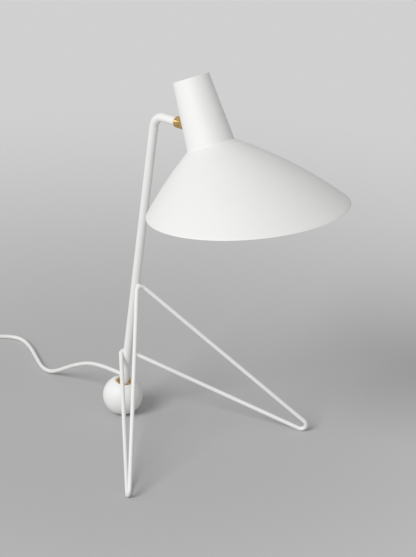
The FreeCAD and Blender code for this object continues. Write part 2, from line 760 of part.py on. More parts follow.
def beyond(aside, along, height):
    """A point set out from the spot where the cord goes on, left of it and then nearer."""
    return FAR_SPOT + FAR_WAY * aside + FAR_SIDE * along + Z * height


def supply_route():
    """Out of the stem, down to the table behind the ball, then along the table."""
    hole = cord_exit()
    points = [Vector(hole.x - STEM_R, 0, hole.z), Vector(-22, 0, hole.z - 1.4)]
    points += [Vector(-44, 0, 49.2), Vector(-66, 0, 44.4), Vector(-88, -0.2, 34.6)]
    points += [Vector(-110, -0.4, 22.2), Vector(-130, -0.6, 9.6), Vector(-146, -1.4, CORD_R)]
    points += [Vector(-162, -0.8, CORD_R), Vector(-184, 9.0, CORD_R), Vector(-207, 20.0, CORD_R)]
    points += [Vector(-229, 28.6, CORD_R), Vector(-248, 31.4, CORD_R), Vector(-262, 23.2, CORD_R)]
    points += [beyond(7, 0.6, CORD_R), beyond(20, 3.4, CORD_R), beyond(34, 14.5, CORD_R)]
    end = SWITCH_ALONG - SWITCH_L / 2
    points += [beyond(40.8, 31, 4.0), beyond(SWITCH_ASIDE, end - 23, SWITCH_SPLIT)]
    points.append(beyond(SWITCH_ASIDE, end, SWITCH_SPLIT))
    return points


def switch_lead_route():
    """From the switch round to the coil's outer turn."""
    start = SWITCH_ALONG + SWITCH_L / 2
    points = [beyond(SWITCH_ASIDE, start, SWITCH_SPLIT), beyond(SWITCH_ASIDE, start + 20, SWITCH_SPLIT)]
    points += [beyond(46.3, 173.8, 3.6), beyond(58.8, 186.6, CORD_R), beyond(77.6, 190.9, CORD_R)]
    points.append(beyond(COIL_ASIDE, COIL_ALONG + COIL_TURN_R, CORD_R))
    return points


def plug_lead_route():
    """From the coil's upper turn to the plug's tail."""
    points = [beyond(134.2, COIL_ALONG - 5, COIL_H - CORD_R)]
    points.append(beyond(135.4, COIL_ALONG - 29, COIL_H - CORD_R))
    points.append(beyond(PLUG_ASIDE + 0.1, PLUG_ALONG + 24, PLUG_H / 2))
    points.append(beyond(PLUG_ASIDE, PLUG_ALONG + FIT, PLUG_H / 2))
    return points


def cord_coil():
    """The cord's spare length, wound: the outer shape of its turns."""
    centre = beyond(COIL_ASIDE, COIL_ALONG, 0)
    ring = collar(COIL_R, COIL_EYE_R, centre, centre + Z * COIL_H)
    edges = [edge for edge in ring.Edges if edge.BoundBox.ZLength < FIT]
    return ring.makeChamfer(CORD_R / 2, edges)


# ---- in-line switch, drawn along X with its underside on the table ----------------------

def rounded_block(length, width, bottom, top, corner):
    """A block with upright rounded corners."""
    block = Part.makeBox(length, width, top - bottom, Vector(-length / 2, -width / 2, bottom))
    upright = [edge for edge in block.Edges if edge.BoundBox.ZLength > FIT]
    return block.makeFillet(corner, upright)


def along_switch(radius, start, end, height=SWITCH_SPLIT):
    return cylinder(radius, Vector(start, 0, height), Vector(end, 0, height))


def switch_shell(bottom, top):
    """One half of the case, hollow in the middle and holding the cord at both ends."""
    shell = rounded_block(SWITCH_L, SWITCH_W, bottom, top, SWITCH_CORNER)
    outer_z = 0 if bottom == 0 else SWITCH_H
    edges = [edge for edge in shell.Edges
             if abs(edge.BoundBox.ZMin - outer_z) < FIT and edge.BoundBox.ZLength < FIT]
    shell = shell.makeFillet(SWITCH_WALL, edges)
    hollow = Part.makeBox(SWITCH_HOLLOW_L, SWITCH_W - 2 * SWITCH_WALL, SWITCH_H - 2 * SWITCH_WALL,
                          Vector(-SWITCH_HOLLOW_L / 2, SWITCH_WALL - SWITCH_W / 2, SWITCH_WALL))
    shell = shell.cut(hollow).cut(along_switch(CORD_R + FIT, -SWITCH_L, SWITCH_L))
    for spot in screw_spots():
        shell = shell.cut(cylinder(SWITCH_SCREW_R + FIT, spot, spot + Z * (SWITCH_H - SWITCH_WALL)))
        shell = shell.cut(cylinder(SWITCH_SCREW_HEAD_R + 2 * FIT, spot, spot + Z * SWITCH_WALL))
    return shell


def screw_spots():
    """Two screws, at opposite corners of the case."""
    aside = SWITCH_W / 2 - SWITCH_SCREW_HEAD_R - FIT - SWITCH_WALL
    out = SWITCH_L / 2 - SWITCH_CORNER
    return [Vector(out, aside, 0), Vector(-out, -aside, 0)]


def switch_cover():
    """Upper half, with the rocker's window and a lug on each side of it for the rocker's pin."""
    window_w = ROCKER_W + 2 * ROCKER_GAP
    window = Part.makeBox(ROCKER_WINDOW_L, window_w, SWITCH_H,
                          Vector(-ROCKER_WINDOW_L / 2, -window_w / 2, SWITCH_H / 2))
    cover = switch_shell(SWITCH_SPLIT, SWITCH_H).cut(window)
    lug_foot = SWITCH_SPLIT + SWITCH_WALL / 2
    lugs = []
    for side in (-1, 1):
        lug = Part.makeBox(4 * ROCKER_PIN_R, SWITCH_WALL, SWITCH_H - SWITCH_WALL / 2 - lug_foot,
                           Vector(-2 * ROCKER_PIN_R, -SWITCH_WALL / 2, lug_foot))
        lug.translate(Y * side * (window_w + SWITCH_WALL) / 2)
        lugs.append(lug)
    cover = cover.fuse(lugs).removeSplitter()
    pin = Y * (window_w / 2 + SWITCH_WALL)
    return cover.cut(cylinder(ROCKER_PIN_R + FIT, Z * ROCKER_AXIS - pin, Z * ROCKER_AXIS + pin))


def switch_rocker():
    """Rocker with a shallow V on top, tipped over to one of its two places."""
    half = ROCKER_L / 2
    keel = ROCKER_KEEL_L / 2
    middle = SWITCH_H - ROCKER_AXIS + CLEAR
    lifted = middle + half * math.tan(math.radians(ROCKER_TILT))
    points = [Vector(-half, 0, lifted), Vector(0, 0, middle), Vector(half, 0, lifted)]
    points += [Vector(half, 0, ROCKER_EDGE), Vector(keel, 0, -ROCKER_KEEL)]
    points += [Vector(-keel, 0, -ROCKER_KEEL), Vector(-half, 0, ROCKER_EDGE)]
    body = Part.Face(Part.makePolygon(points + [points[0]])).extrude(Y * ROCKER_W)
    body.translate(-Y * ROCKER_W / 2)
    reach = ROCKER_W / 2 + ROCKER_GAP + SWITCH_WALL - FIT
    rocker = body.fuse(cylinder(ROCKER_PIN_R, -Y * reach, Y * reach)).removeSplitter()
    return placed(rocker, Placement(Z * ROCKER_AXIS, Rotation(Y, ROCKER_TILT)))


def switch_contacts():
    """Two terminals beside the rocker, standing on the floor of the case."""
    axis = Z * (SWITCH_WALL + TERMINAL_H / 2)
    blocks = []
    for side in (-1, 1):
        block = Part.makeBox(TERMINAL_L, TERMINAL_W, TERMINAL_H,
                             Vector(-TERMINAL_L / 2, -TERMINAL_W / 2, SWITCH_WALL))
        block = block.cut(cylinder(TERMINAL_BORE_R, axis - X * TERMINAL_L, axis + X * TERMINAL_L))
        block.translate(X * side * TERMINAL_OUT)
        blocks.append(block)
    return Part.makeCompound(blocks)


def switch_screws():
    screws = []
    for spot in screw_spots():
        under_head = spot + Z * SWITCH_WALL
        head = cylinder(SWITCH_SCREW_HEAD_R, spot + Z * CLEAR, under_head)
        shank = cylinder(SWITCH_SCREW_R, under_head, spot + Z * (SWITCH_H - 2 * SWITCH_WALL))
        slot = Part.makeBox(2 * SWITCH_SCREW_HEAD_R, SLOT_W, SLOT_W,
                            spot + Vector(-SWITCH_SCREW_HEAD_R, -SLOT_W / 2, CLEAR))
        screws.append(head.fuse(shank).removeSplitter().cut(slot))
    return Part.makeCompound(screws)


def relief(end_height):
    """A tapered sleeve along X, with grooves round it that let it bend."""
    sleeve = Part.makeCone(RELIEF_R, RELIEF_END_R, RELIEF_L, Z * end_height, X)
    for groove in range(1, RELIEF_GROOVES + 1):
        start = Vector(RELIEF_L * groove / (RELIEF_GROOVES + 1), 0, end_height)
        sleeve = sleeve.cut(collar(2 * RELIEF_R, RELIEF_CORE_R, start, start + X * RELIEF_GROOVE_W))
    return sleeve.cut(along_switch(CORD_R + FIT, -BIG, BIG, end_height))


def switch_reliefs():
    one = relief(SWITCH_SPLIT)
    one.translate(X * SWITCH_L / 2)
    other = one.mirror(ORIGIN, X)
    return Part.makeCompound([one, other])


def switch_place():
    turn = Rotation(X, FAR_SIDE)
    return Placement(beyond(SWITCH_ASIDE, SWITCH_ALONG, 0), turn)


# ---- plug, drawn with its cord end at the origin and its pins along X -------------------

def plug_section(x, width, height):
    """A flat section with its sides running out to an edge, at half the plug's height."""
    middle = PLUG_H / 2
    half_w = width / 2
    half_h = height / 2
    corners = [Vector(x, -half_w, middle), Vector(x, half_h - half_w, middle + half_h)]
    corners += [Vector(x, half_w - half_h, middle + half_h), Vector(x, half_w, middle)]
    corners += [Vector(x, half_w - half_h, middle - half_h), Vector(x, half_h - half_w, middle - half_h)]
    return Part.makePolygon(corners + [corners[0]])


def plug_body():
    """A grip that widens to the shoulders, and the straight front that the pins stand in."""
    tail = plug_section(0, PLUG_TAIL_W, PLUG_TAIL_H)
    waist = plug_section(PLUG_WAIST_AT, PLUG_WAIST_W, PLUG_WAIST_H)
    shoulder = plug_section(PLUG_SHOULDER_AT, PLUG_W, PLUG_H)
    face = plug_section(PLUG_L, PLUG_W, PLUG_H)
    body = Part.makeLoft([tail, waist], True, True)
    body = body.fuse(Part.makeLoft([waist, shoulder], True, True))
    body = body.fuse(Part.makeLoft([shoulder, face], True, True)).removeSplitter()
    return body.makeFillet(PLUG_EDGE, body.Edges)


def plug_pins():
    pins = []
    for side in (-1, 1):
        foot = Vector(PLUG_L, side * PIN_PITCH / 2, PLUG_H / 2)
        pin = cylinder(PIN_R, foot, foot + X * PIN_L)
        tip = [edge for edge in pin.Edges if abs(edge.BoundBox.XMin - PLUG_L - PIN_L) < FIT]
        pins.append(pin.makeFillet(PIN_R / 2, tip))
    return Part.makeCompound(pins)


def plug_relief():
    return relief(PLUG_H / 2).mirror(ORIGIN, X)


def plug_place():
    return Placement(beyond(PLUG_ASIDE, PLUG_ALONG, 0), Rotation(X, -FAR_SIDE))


# ---- all pieces ------------------------------------------------------------------------

os.makedirs("parts", exist_ok=True)

save("foot_ball", foot_ball())
save("foot_pad", foot_pad())
save("ball_ring", ball_ring())
save("ball_grub_screw", ball_grub_screw())
save("stem_tube", stem_tube())
save("cord_grommet", cord_grommet())
save("stem_lead", stem_lead())

left_leg = leg()
right_leg = left_leg.mirror(ORIGIN, Y)
save("left_leg", left_leg)
save("right_leg", right_leg)
save("weld_beads", weld_beads(left_leg, right_leg))

save("arm_spigot", placed(arm_spigot(), ARM_PLACE))
save("swivel_base", placed(swivel_base(), ARM_PLACE))
save("swivel_grub_screw", placed(swivel_grub_screw(), ARM_PLACE))
save("swivel_head", placed(swivel_head(), HEAD_PLACE))
save("swivel_screw", placed(swivel_screw(), HEAD_PLACE))
save("swivel_washer", placed(swivel_washer(), HEAD_PLACE))

sheet = shade_sheet()
for name, piece in (("shade_neck", shade_neck(sheet)), ("shade_skirt", shade_skirt(sheet)),
                    ("neck_saddle", neck_saddle()), ("inner_saddle", inner_saddle()),
                    ("neck_nut", neck_nut()), ("holder_bracket", holder_bracket()),
                    ("holder_nipple", holder_nipple()), ("holder_nut", holder_nut()),
                    ("holder_cap", holder_cap()), ("holder_body", holder_body()),
                    ("holder_thread", holder_thread()), ("holder_contact", holder_contact()),
                    ("bulb_glass", bulb_glass()), ("bulb_cap", bulb_cap()),
                    ("bulb_contact", bulb_contact()), ("shade_lead", shade_lead())):
    save(name, placed(piece, SHADE_PLACE))

save("supply_cord", lead("supply_cord", supply_route(), CORD_R))
save("switch_lead", lead("switch_lead", switch_lead_route(), CORD_R))
save("plug_lead", lead("plug_lead", plug_lead_route(), CORD_R))
save("cord_coil", cord_coil())

for name, piece in (("switch_base", switch_shell(0, SWITCH_SPLIT)), ("switch_cover", switch_cover()),
                    ("switch_rocker", switch_rocker()), ("switch_contacts", switch_contacts()),
                    ("switch_screws", switch_screws()), ("switch_reliefs", switch_reliefs())):
    save(name, placed(piece, switch_place()))

for name, piece in (("plug_body", plug_body()), ("plug_pins", plug_pins()),
                    ("plug_relief", plug_relief())):
    save(name, placed(piece, plug_place()))
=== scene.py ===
import math

import bmesh
import bpy
from mathutils import Matrix, Vector, noise


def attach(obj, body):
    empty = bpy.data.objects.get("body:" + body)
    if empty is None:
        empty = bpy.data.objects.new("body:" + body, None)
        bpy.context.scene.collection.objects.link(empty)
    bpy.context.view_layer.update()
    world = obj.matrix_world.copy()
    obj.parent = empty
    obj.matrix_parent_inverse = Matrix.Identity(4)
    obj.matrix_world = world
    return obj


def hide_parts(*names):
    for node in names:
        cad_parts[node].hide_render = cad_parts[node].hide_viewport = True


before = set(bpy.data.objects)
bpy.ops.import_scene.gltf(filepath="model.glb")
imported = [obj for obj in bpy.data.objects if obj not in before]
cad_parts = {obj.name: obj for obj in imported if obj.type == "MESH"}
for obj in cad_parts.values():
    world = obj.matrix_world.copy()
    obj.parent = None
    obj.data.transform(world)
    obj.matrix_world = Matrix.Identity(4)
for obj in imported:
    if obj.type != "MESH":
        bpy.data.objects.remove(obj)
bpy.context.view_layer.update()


# ---- Foot ball -------------------------------------------------------------------------
# A turned steel ball, lacquered satin white with the rest of the lamp. It is ground flat
# underneath, bored along the leaning stem, and dished round the bore for a brass ring.

MM = 0.001
LEAN = math.radians(8.15)
STEM_UP = Vector((math.sin(LEAN), 0, math.cos(LEAN)))
BALL_R = 25 * MM
BALL_CENTRE = Vector((0, 0, BALL_R))
BALL_FLAT = 1 * MM
BALL_BORE_R = 5.55 * MM
BALL_BORE_END = -10.05 * MM
DISH_R = 12.3 * MM
DISH_FLOOR_R = 9.95 * MM
DISH_FLOOR = 20.5 * MM
DISH_EDGE_R = 0.4 * MM
RING_SEAT = 17.5 * MM
GRUB_HOLE_R = 2.05 * MM
GRUB_HOLE_IN = 14 * MM
GRUB_HOLE_OUT = 30 * MM
SHARP = math.radians(38)
STRAIGHT = 1e-4
RUN_SHARE = 0.48
ON_AXIS = 1e-7
TOUCHING = 1e-6
MIX_LOW = 6
MIX_HIGH = 7
MIX_BLEND = 2


class Wire:
    """One output of a shader node. It adds, subtracts, multiplies and compares like a number."""

    def __init__(self, socket):
        self.socket = socket

    def node(self, kind, settings, sockets, output=0):
        """Any node in the same tree: its settings first, then what its sockets get."""
        made = self.socket.id_data.nodes.new("ShaderNode" + kind)
        for name, value in settings.items():
            setattr(made, name, value)
        feed(made, sockets)
        return Wire(made.outputs[output])

    def maths(self, operation, first, second):
        """What a Math node makes of two values."""
        return self.node("Math", {"operation": operation}, {0: first, 1: second})

    def __add__(self, other):
        return self.maths("ADD", self, other)

    __radd__ = __add__

    def __sub__(self, other):
        return self.maths("SUBTRACT", self, other)

    def __rsub__(self, other):
        return self.maths("SUBTRACT", other, self)

    def __mul__(self, other):
        return self.maths("MULTIPLY", self, other)

    __rmul__ = __mul__

    def __gt__(self, other):
        return self.maths("GREATER_THAN", self, other)

    def clouds(self, size, detail, roughness=0.5):
        """Soft noise whose blots are about as large as size, from 0 to 1."""
        return self.node("TexNoise", {}, {"Vector": self, "Scale": 1 / size, "Detail": detail,
                                          "Roughness": roughness})

    def stretched(self, x, y, z):
        """The place with each axis scaled, so that a pattern runs along one of them."""
        return self.node("VectorMath", {"operation": "MULTIPLY"}, {0: self, 1: (x, y, z)})

    def along(self, direction):
        """How far a place lies along a direction."""
        return self.node("VectorMath", {"operation": "DOT_PRODUCT"}, {0: self, 1: direction}, "Value")

    def mixed(self, low, high):
        """A blend of two colours, by this value from 0 to 1."""
        low, high = [end if isinstance(end, Wire) else (*end, 1) for end in (low, high)]
        return self.node("Mix", {"data_type": "RGBA"},
                         {"Factor": self, MIX_LOW: low, MIX_HIGH: high}, MIX_BLEND)

    def ridges(self, height, strength=1.0):
        """A bumped normal from this value, its full step as high as height."""
        return self.node("Bump", {}, {"Strength": strength, "Distance": height, "Height": self})


def feed(node, sockets):
    """Gives each named socket of a node its value, or the wire that leads to it."""
    for name, value in sockets.items():
        if isinstance(value, Wire):
            node.id_data.links.new(value.socket, node.inputs[name])
        else:
            node.inputs[name].default_value = value


def finish(name, recipe):
    """A material whose recipe turns a place on the piece into what the surface's sockets get."""
    material = bpy.data.materials.new(name)
    material.use_nodes = True
    nodes = material.node_tree.nodes
    place = Wire(nodes.new("ShaderNodeTexCoord").outputs["Object"])
    feed(nodes["Principled BSDF"], recipe(place))
    return material


def lacquer(place):
    """Sprayed satin lacquer: faint orange peel, cloudy gloss and a few specks of dust."""
    peel = place.clouds(1.1 * MM, 2)
    bloom = place.clouds(26 * MM, 2)
    specks = place.clouds(2.3 * MM, 1) > 0.78
    return {
        "Base Color": (bloom * 0.7 + specks * 0.3).mixed((0.87, 0.87, 0.862), (0.835, 0.833, 0.822)),
        "Roughness": 0.5 + bloom * 0.1 + specks * 0.1,
        "Normal": (peel + specks * 0.25).ridges(0.012 * MM, 0.6),
    }


white_lacquer = finish("white_lacquer", lacquer)


def bend(before, corner, after, radius, steps=6):
    """Points on the arc that rounds a corner, smaller where the runs beside it are short."""
    back = before - corner
    ahead = after - corner
    if (back.normalized() + ahead.normalized()).length < STRAIGHT:
        return [corner]
    half = back.angle(ahead) / 2
    reach = min(radius / math.tan(half), RUN_SHARE * back.length, RUN_SHARE * ahead.length)
    middle = (back.normalized() + ahead.normalized()).normalized()
    centre = corner + middle * (reach / math.cos(half))
    first = corner + back.normalized() * reach - centre
    last = corner + ahead.normalized() * reach - centre
    turn = first.angle(last)
    across = (last - first * math.cos(turn)) / math.sin(turn)
    return [centre + first * math.cos(turn * step / steps) + across * math.sin(turn * step / steps)
            for step in range(steps + 1)]


def rounded(points, radius, steps=6):
    """A route or outline with each of its inner corners rounded."""
    route = [points[0]]
    for before, corner, after in zip(points, points[1:], points[2:]):
        route += bend(before, corner, after, radius, steps)
    return route + [points[-1]]


def section(*pairs):
    """Half a turned piece's section: pairs of radius and height."""
    return [Vector((radius, 0, height)) for radius, height in pairs]


def bar(radius, low, high):
    """The section of a plain round bar between two heights."""
    return section((0, low), (radius, low), (radius, high), (0, high))


def arc_points(centre, radius, start, end, steps):
    """Points of an arc in a section, by its angles in degrees from the outward direction."""
    angles = [math.radians(start + (end - start) * step / steps) for step in range(steps + 1)]
    return [centre + Vector((math.cos(a), 0, math.sin(a))) * radius for a in angles]


def shaded(mesh, data):
    """Stores a finished bmesh, smooth apart from its real edges."""
    bmesh.ops.recalc_face_normals(mesh, faces=mesh.faces)
    for face in mesh.faces:
        face.smooth = True
    for edge in mesh.edges:
        edge.smooth = edge.is_manifold and edge.calc_face_angle(0) < SHARP
    mesh.to_mesh(data)
    mesh.free()


def built(name, mesh, material, place=None):
    """An object from a finished bmesh."""
    if place:
        mesh.transform(place)
    data = bpy.data.meshes.new(name)
    shaded(mesh, data)
    data.materials.append(material)
    piece = bpy.data.objects.new(name, data)
    bpy.context.scene.collection.objects.link(piece)
    return piece


def upright_on(origin, axis, front=Vector((0, 1, 0))):
    """The placement that stands a turned piece on a point, along an axis."""
    up = axis.normalized()
    side = front.cross(up).normalized()
    turn = Matrix((side, up.cross(side), up)).transposed().to_4x4()
    return Matrix.Translation(origin) @ turn


def joined(mesh, low, high):
    """A band of faces between two rings of corners, narrowed to triangles where one is a point."""
    for k in range(len(low)):
        after = (k + 1) % len(low)
        corners = list(dict.fromkeys([low[k], low[after], high[after], high[k]]))
        if len(corners) > 2:
            mesh.faces.new(corners)


def spun(mesh, outline, sides):
    """Turns a section about Z into a mesh: closed, or ended where it meets the axis."""
    rings = []
    for point in outline:
        if point.x < ON_AXIS:
            rings.append([mesh.verts.new(point)] * sides)
        else:
            rings.append([mesh.verts.new(Matrix.Rotation(math.tau * k / sides, 3, "Z") @ point)
                          for k in range(sides)])
    pairs = list(zip(rings, rings[1:]))
    if outline[0].x > ON_AXIS:
        pairs.append((rings[-1], rings[0]))
    for low, high in pairs:
        joined(mesh, low, high)


def turned(name, outline, material, place=None, sides=96):
    """A piece turned from half its section."""
    mesh = bmesh.new()
    spun(mesh, outline, sides)
    return built(name, mesh, material, place)


def drilled(piece, drill):
    """Cuts a drill's shape out of a piece, and takes the drill away."""
    cut = piece.modifiers.new("drill", "BOOLEAN")
    cut.operation = "DIFFERENCE"
    cut.object = drill
    cut.solver = "EXACT"
    bpy.context.view_layer.update()
    mesh = bmesh.new()
    mesh.from_object(piece, bpy.context.evaluated_depsgraph_get())
    piece.modifiers.clear()
    bpy.data.objects.remove(drill)
    bmesh.ops.dissolve_degenerate(mesh, dist=TOUCHING, edges=mesh.edges)
    shaded(mesh, piece.data)


skin = arc_points(Vector((0, 0, 0)), BALL_R, -90, math.degrees(math.acos(DISH_R / BALL_R)), steps=72)
mouth = rounded([skin[-2], *section((DISH_R, skin[-1].z), (DISH_FLOOR_R, DISH_FLOOR),
                                    (DISH_FLOOR_R, RING_SEAT))], DISH_EDGE_R)
bore = section((DISH_FLOOR_R, RING_SEAT), (BALL_BORE_R, RING_SEAT),
               (BALL_BORE_R, BALL_BORE_END), (0, BALL_BORE_END))
ball = turned("foot_ball_shell", skin[:-1] + mouth[1:-1] + bore, white_lacquer,
              upright_on(BALL_CENTRE, STEM_UP), sides=128)
for corner in ball.data.vertices:
    corner.co.z = max(corner.co.z, BALL_FLAT)
hole = turned("grub_hole", bar(GRUB_HOLE_R, GRUB_HOLE_IN, GRUB_HOLE_OUT), white_lacquer,
              upright_on(BALL_CENTRE, Vector((-1, 0, 0))), sides=24)
drilled(ball, hole)
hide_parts("foot_ball")
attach(ball, "base")


# ---- Foot pad --------------------------------------------------------------------------
# A thin felt disc, glued in the flat under the ball so that the lamp neither slides nor
# scratches the table.

PAD_R = 6.5 * MM
PAD_EDGE_R = 0.3 * MM


def felt(place):
    """Pressed wool felt: dark grey, matt and fibrous."""
    fibres = place.clouds(0.35 * MM, 6, 0.75)
    return {
        "Base Color": fibres.mixed((0.10, 0.10, 0.095), (0.26, 0.255, 0.24)),
        "Roughness": 0.95,
        "Sheen Weight": 0.4,
        "Normal": fibres.ridges(0.12 * MM),
    }


pad = turned("felt_pad", rounded(bar(PAD_R, 0, BALL_FLAT), PAD_EDGE_R), finish("grey_felt", felt),
             sides=64)
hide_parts("foot_pad")
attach(pad, "base")


# ---- Ball ring and grub screw ----------------------------------------------------------
# A turned brass ring lies in the ball's dish with the stem standing free inside it. A steel
# grub screw in the back of the ball clamps the stem.

RING_R = 9.9 * MM
RING_BORE_R = 7.2 * MM
RING_BEVEL = 0.7 * MM
RING_EDGE_R = 0.25 * MM


def brass_along(direction):
    """Polished brass, turned about a direction: fine tool marks and a little tarnish."""
    def recipe(place):
        depth = place.along(tuple(direction))
        marks = depth.node("TexNoise", {"noise_dimensions": "1D"},
                           {"W": depth, "Scale": 1 / (0.09 * MM), "Detail": 2.0})
        tarnish = place.clouds(3.5 * MM, 4, 0.6)
        return {
            "Base Color": tarnish.mixed((0.76, 0.51, 0.20), (0.61, 0.39, 0.14)),
            "Metallic": 1.0,
            "Roughness": 0.09 + tarnish * 0.14 + marks * 0.06,
            "Normal": marks.ridges(0.006 * MM, 0.7),
        }
    return recipe


ring = turned("ball_ring_turned",
              rounded(section((RING_BORE_R, RING_SEAT), (RING_BORE_R, DISH_FLOOR - RING_BEVEL),
                              (RING_BORE_R + RING_BEVEL, DISH_FLOOR), (RING_R, DISH_FLOOR),
                              (RING_R, RING_SEAT)), RING_EDGE_R),
              finish("brass_ring", brass_along(STEM_UP)), upright_on(BALL_CENTRE, STEM_UP))
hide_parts("ball_ring")
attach(ring, "base")


def zinc(place):
    """Zinc-plated steel: grainy, with brushed streaks and a slightly uneven gloss."""
    streaks = place.stretched(1, 1, 0.15).clouds(0.5 * MM, 4, 0.6)
    return {
        "Base Color": streaks.mixed((0.60, 0.60, 0.59), (0.50, 0.50, 0.50)),
        "Metallic": 1.0,
        "Roughness": 0.28 + streaks * 0.18,
        "Normal": streaks.ridges(0.01 * MM, 0.6),
    }


zinc_plate = finish("zinc_plate", zinc)


def dressed(node, material, edge=0.12 * MM):
    """Gives a machined piece its finish and breaks its sharp edges."""
    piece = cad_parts[node]
    piece.data.materials.clear()
    piece.data.materials.append(material)
    weld = piece.modifiers.new("closed", "WELD")
    weld.merge_threshold = TOUCHING
    if edge:
        bevel = piece.modifiers.new("broken edges", "BEVEL")
        bevel.width = edge
        bevel.segments = 2
        bevel.limit_method = "ANGLE"
        bevel.angle_limit = math.radians(45)


dressed("ball_grub_screw", zinc_plate)


# ---- Stem and arm ----------------------------------------------------------------------
# One 11 mm steel tube. It stands in the ball, leans forward, and is bent over at the top
# into a short arm that rises a little. It is lacquered like the ball.

STEM_R = 5.5 * MM
STEM_BORE_R = 4 * MM
STEM_SUNK = 10 * MM
STEM_RUN = 401 * MM
RISE = math.radians(6)
ARM_WAY = Vector((math.cos(RISE), 0, math.sin(RISE)))
ARM_RUN = 41.2 * MM
STEM_BEND_R = 21 * MM
ARM_CORNER = BALL_CENTRE + STEM_UP * STEM_RUN
ARM_END = ARM_CORNER + ARM_WAY * ARM_RUN


def drawn(name, route, radius, material, bore=0.0, sides=40):
    """A wire, or with a bore a tube, bent along a route."""
    mesh = bmesh.new()
    radii = [radius, bore] if bore else [radius]
    skins = [[] for size in radii]
    side = (route[1] - route[0]).orthogonal()
    for index, centre in enumerate(route):
        ahead = route[min(index + 1, len(route) - 1)] - route[max(index - 1, 0)]
        ahead.normalize()
        side = (side - ahead * side.dot(ahead)).normalized()
        across = ahead.cross(side)
        for rings, size in zip(skins, radii):
            angles = [math.tau * k / sides for k in range(sides)]
            rings.append([mesh.verts.new(centre + (side * math.cos(a) + across * math.sin(a)) * size)
                          for a in angles])
    bands = [pair for rings in skins for pair in zip(rings, rings[1:])]
    if bore:
        bands += [(skins[0][0], skins[1][0]), (skins[0][-1], skins[1][-1])]
    else:
        mesh.faces.new(skins[0][0])
        mesh.faces.new(skins[0][-1])
    for low, high in bands:
        joined(mesh, low, high)
    return built(name, mesh, material)


stem_route = rounded([BALL_CENTRE - STEM_UP * STEM_SUNK, ARM_CORNER, ARM_END], STEM_BEND_R, steps=32)
stem = drawn("stem_and_arm", stem_route, STEM_R, white_lacquer, bore=STEM_BORE_R, sides=64)
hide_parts("stem_tube")
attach(stem, "base")


# ---- Wire legs -------------------------------------------------------------------------
# Each leg is a hairpin of 5.2 mm steel wire with its foot bent tight. The two hairpins meet
# in a V in front of the stem and in a lower V that goes round behind it.

WIRE_R = 2.6 * MM
UPPER_V = Vector((26.1, 0, 190.47)) * MM
LOWER_V = Vector((-4.89, 0, 89.34)) * MM
FOOT = Vector((208.1, 163.2, -11.85)) * MM
V_BEND_R = 8 * MM
FOOT_BEND_R = 7.2 * MM
HALF_BEND = 12


def mirrored(point):
    """The same point on the lamp's other side."""
    return Vector((point.x, -point.y, point.z))


other_foot = mirrored(FOOT)
upper_bend = bend(other_foot, UPPER_V, FOOT, V_BEND_R, 2 * HALF_BEND)
lower_bend = bend(FOOT, LOWER_V, other_foot, V_BEND_R, 2 * HALF_BEND)
leg_route = upper_bend[HALF_BEND:] + bend(UPPER_V, FOOT, LOWER_V, FOOT_BEND_R, 2 * HALF_BEND)
leg_route += lower_bend[:HALF_BEND + 1]
for name, route in (("left_leg", leg_route), ("right_leg", [mirrored(point) for point in leg_route])):
    wire = drawn(name + "_wire", route, WIRE_R, white_lacquer)
    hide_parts(name)
    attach(wire, "base")


# ---- Weld beads ------------------------------------------------------------------------
# A short bead of weld holds each V to the stem, in front at the upper one and behind at the
# lower. It was dressed with a file before the stand was sprayed.

STEM_FRONT = Vector((math.cos(LEAN), 0, -math.sin(LEAN)))
BEAD_R = 3.4 * MM
BEAD_WIDE = 0.95
BEAD_TALL = 1.05
BEAD_SWELL = 0.07
BEAD_LUMPS = 2.2
BEAD_SHIFT = 100
beads = bmesh.new()
for apex, side in ((upper_bend[HALF_BEND], 1), (lower_bend[HALF_BEND], -1)):
    seat = apex - STEM_FRONT * side * WIRE_R
    lump = bmesh.ops.create_icosphere(beads, subdivisions=5, radius=BEAD_R)["verts"]
    for corner in lump:
        way = corner.co.normalized()
        swell = 1 + BEAD_SWELL * noise.noise(way * BEAD_LUMPS + seat * BEAD_SHIFT)
        corner.co = seat + Vector((way.x * BEAD_WIDE, way.y, way.z * BEAD_TALL)) * BEAD_R * swell
weld = built("weld_bead_pair", beads, white_lacquer)
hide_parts("weld_beads")
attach(weld, "base")


# ---- Cord grommet and stem lead --------------------------------------------------------
# A moulded sleeve lines the hole at the back of the stem, where the cord comes out. Above it
# the lead goes on inside the stem and the arm.

def soft_pvc(place):
    """White cable PVC: matt, very slightly wavy, with a trace of handling."""
    waves = place.clouds(4 * MM, 2)
    grime = place.clouds(18 * MM, 3, 0.6)
    return {
        "Base Color": (grime * 0.8).mixed((0.84, 0.84, 0.825), (0.75, 0.745, 0.725)),
        "Roughness": 0.45 + waves * 0.12,
        "Normal": waves.ridges(0.03 * MM, 0.5),
    }


white_pvc = finish("white_pvc", soft_pvc)
dressed("cord_grommet", white_pvc)
dressed("stem_lead", white_pvc, edge=0)


# ---- Swivel ----------------------------------------------------------------------------
# Two brass half-laps on a slotted cross screw. The base turns on a spigot brazed into the
# arm, held by a grub screw in its groove; the head's hollow stub carries the shade.

